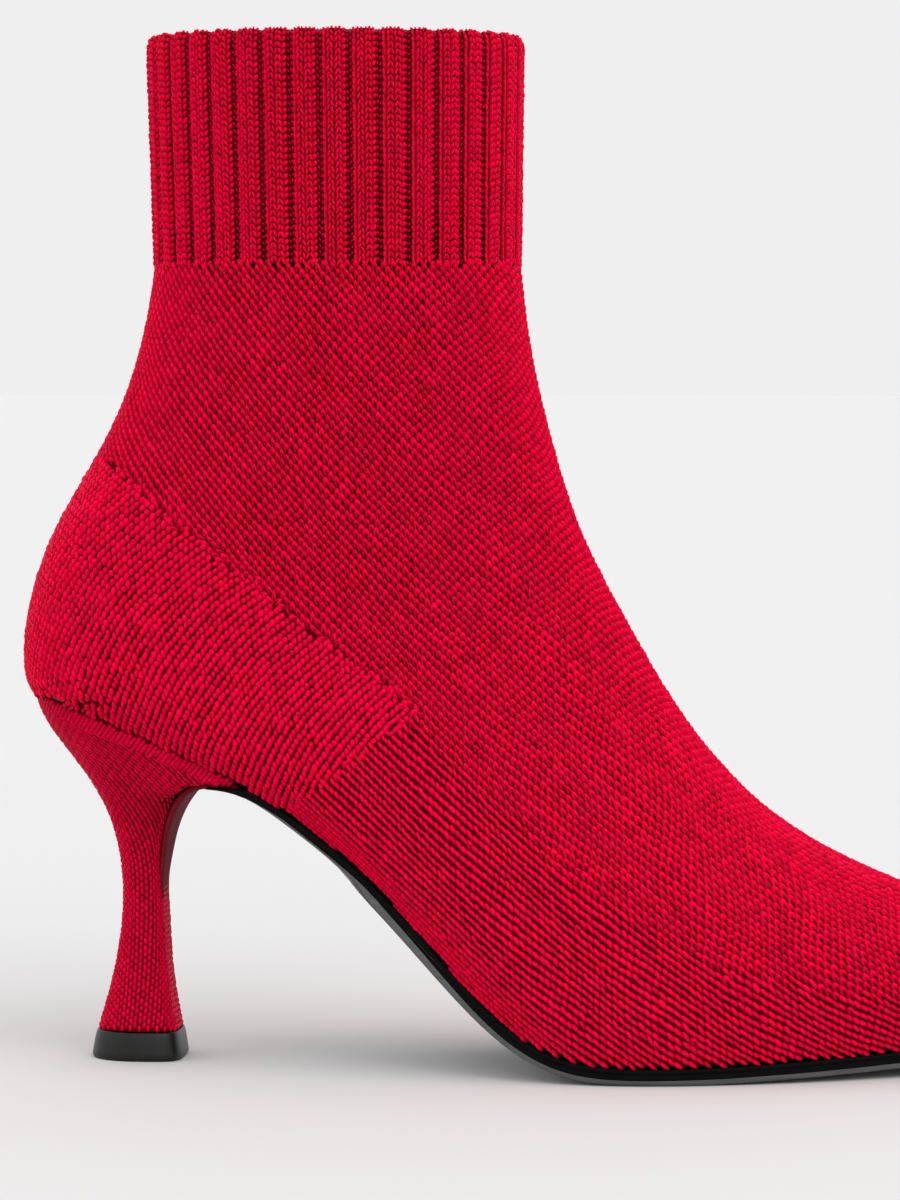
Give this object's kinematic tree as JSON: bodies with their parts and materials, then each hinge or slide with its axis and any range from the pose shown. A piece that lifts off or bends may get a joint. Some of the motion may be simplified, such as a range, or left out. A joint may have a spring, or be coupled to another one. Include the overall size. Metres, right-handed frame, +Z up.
{
  "type": "sock boot",
  "caption": "Knitted sock boot with a ribbed cuff, a pointed toe, a thin dark sole and a high flared heel covered in the same knit.",
  "frame": {"origin": "on the floor under the middle of the boot's box", "axes": "+X from heel to toe, +Z up, -Y to the outer side of the right foot"},
  "size_m": [0.2396, 0.0814, 0.2302],
  "materials": {
    "red_knit": "soft matte knit of stretch yarn",
    "insole_lining": "plain matte lining",
    "black_sole": "satin, polished along its edge",
    "heel_knit": "fine matte knit drawn tight over the heel",
    "maroon_leather": "smooth satin",
    "tip_rubber": "satin moulded rubber"
  },
  "bodies": {
    "root": {"knit_upper": "red_knit", "insole": "insole_lining", "outsole": "black_sole", "heel": "heel_knit", "heel_breast": "maroon_leather", "heel_tip": "tip_rubber"}
  },
  "joints": []
}
